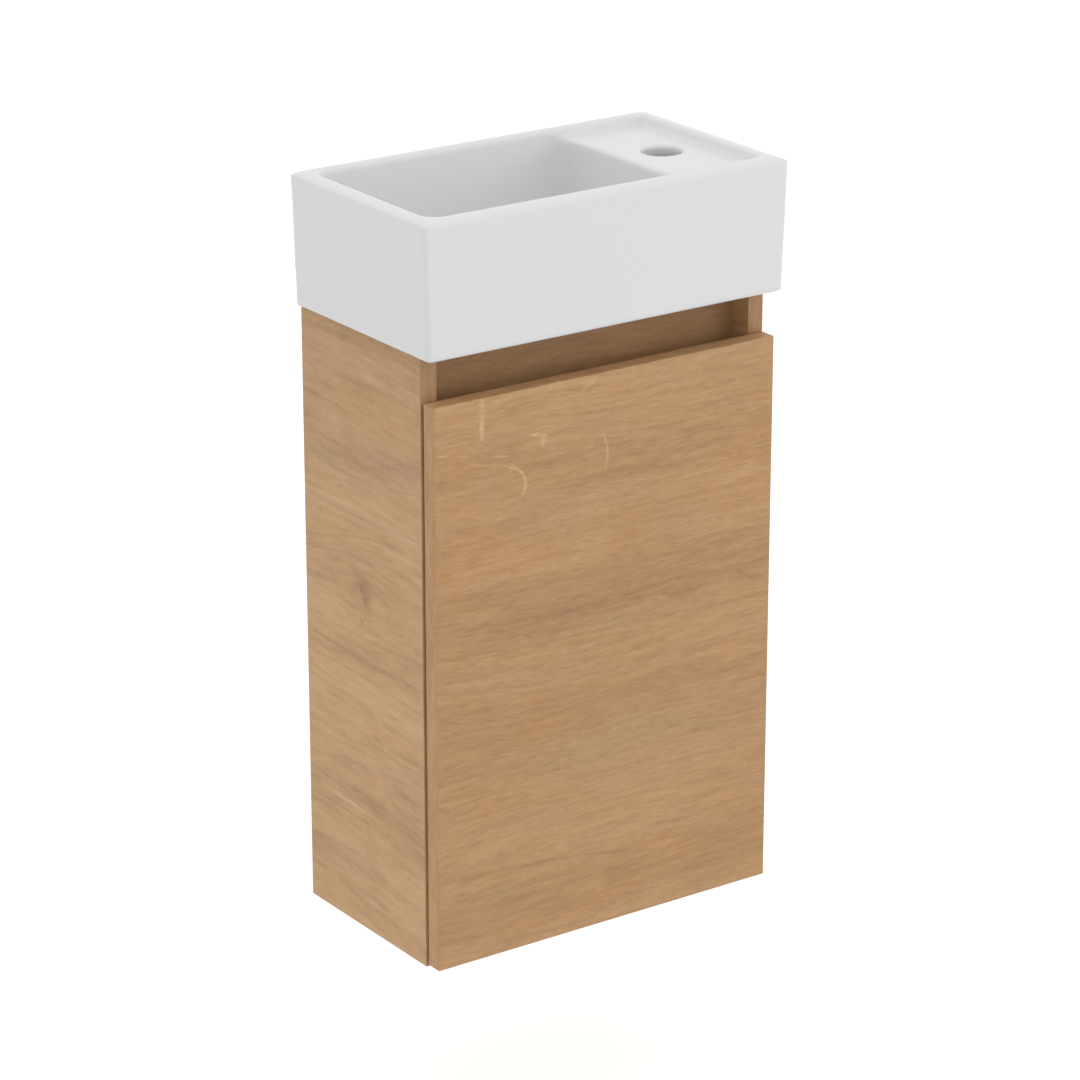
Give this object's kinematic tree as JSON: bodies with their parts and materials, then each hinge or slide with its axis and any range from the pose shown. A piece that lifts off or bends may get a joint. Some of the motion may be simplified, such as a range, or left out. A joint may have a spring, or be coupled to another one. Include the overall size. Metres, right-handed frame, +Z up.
{
  "type": "wall-hung vanity unit with basin",
  "caption": "Narrow wall-hung cloakroom vanity: rectangular ceramic basin with an offset bowl and a recessed tap deck on an oak cabinet with a hinged door and a finger recess.",
  "frame": {"origin": "middle of the unit's bounding box in plan, at the height of the cabinet's underside", "axes": "+X to the right seen from the front, +Y back towards the wall, +Z up; the door faces -Y"},
  "size_m": [0.3748, 0.207, 0.6715],
  "materials": {
    "glazed_basin": "gloss",
    "oak_board": "satin",
    "back_board": "matte",
    "beech_dowel": "matte",
    "white_sealant": "satin",
    "clear_rubber": "satin",
    "zinc_steel": "satin",
    "nickel_steel": "satin"
  },
  "bodies": {
    "cabinet": {"basin": "glazed_basin", "basin_sealant": "white_sealant", "side_panel_left": "oak_board", "side_panel_right": "oak_board", "bottom_panel": "oak_board", "recess_rail": "oak_board", "back_rail": "oak_board", "back_panel": "back_board", "shelf": "oak_board", "shelf_pins": "zinc_steel", "dowels": "beech_dowel", "cam_bolts": "zinc_steel", "cam_locks": "zinc_steel", "wall_plate_left": "zinc_steel", "wall_plate_right": "zinc_steel", "hanger_left": "zinc_steel", "hanger_right": "zinc_steel", "hanger_screws": "zinc_steel", "hanger_adjusters": "zinc_steel", "hinge_arm_lower": "nickel_steel", "hinge_arm_upper": "nickel_steel", "hinge_plate_lower": "nickel_steel", "hinge_plate_upper": "nickel_steel", "closing_spring_lower": "nickel_steel", "closing_spring_upper": "nickel_steel", "arm_pins": "nickel_steel", "plate_screws": "nickel_steel", "arm_screws": "nickel_steel"},
    "outer_links": {"outer_link_lower": "nickel_steel", "outer_link_upper": "nickel_steel"},
    "inner_links": {"inner_link_lower": "nickel_steel", "inner_link_upper": "nickel_steel", "link_pins": "nickel_steel"},
    "door": {"door": "oak_board", "door_bumpers": "clear_rubber", "hinge_cup_lower": "nickel_steel", "hinge_cup_upper": "nickel_steel", "cup_pins": "nickel_steel", "cup_screws": "nickel_steel"}
  },
  "joints": [
    {"name": "outer_link_turn", "type": "hinge", "parent": "cabinet", "child": "outer_links", "pos_m": [0.1542, -0.077, 0.25775], "axis": [0, 0, 1], "range_deg": [-19.05, 0]},
    {"name": "door_swing", "type": "hinge", "parent": "outer_links", "child": "door", "pos_m": [0.1702, -0.0876, 0.25775], "axis": [0, 0, 1], "range_deg": [0, 114]},
    {"name": "inner_link_turn", "type": "hinge", "parent": "cabinet", "child": "inner_links", "pos_m": [0.151, -0.07, 0.25775], "axis": [0, 0, 1], "range_deg": [0, 2.86]}
  ],
  "couplings": [
    {"joint": "outer_link_turn", "follows": "door_swing", "ratio": -0.16667},
    {"joint": "inner_link_turn", "follows": "door_swing", "ratio": 0.025}
  ]
}
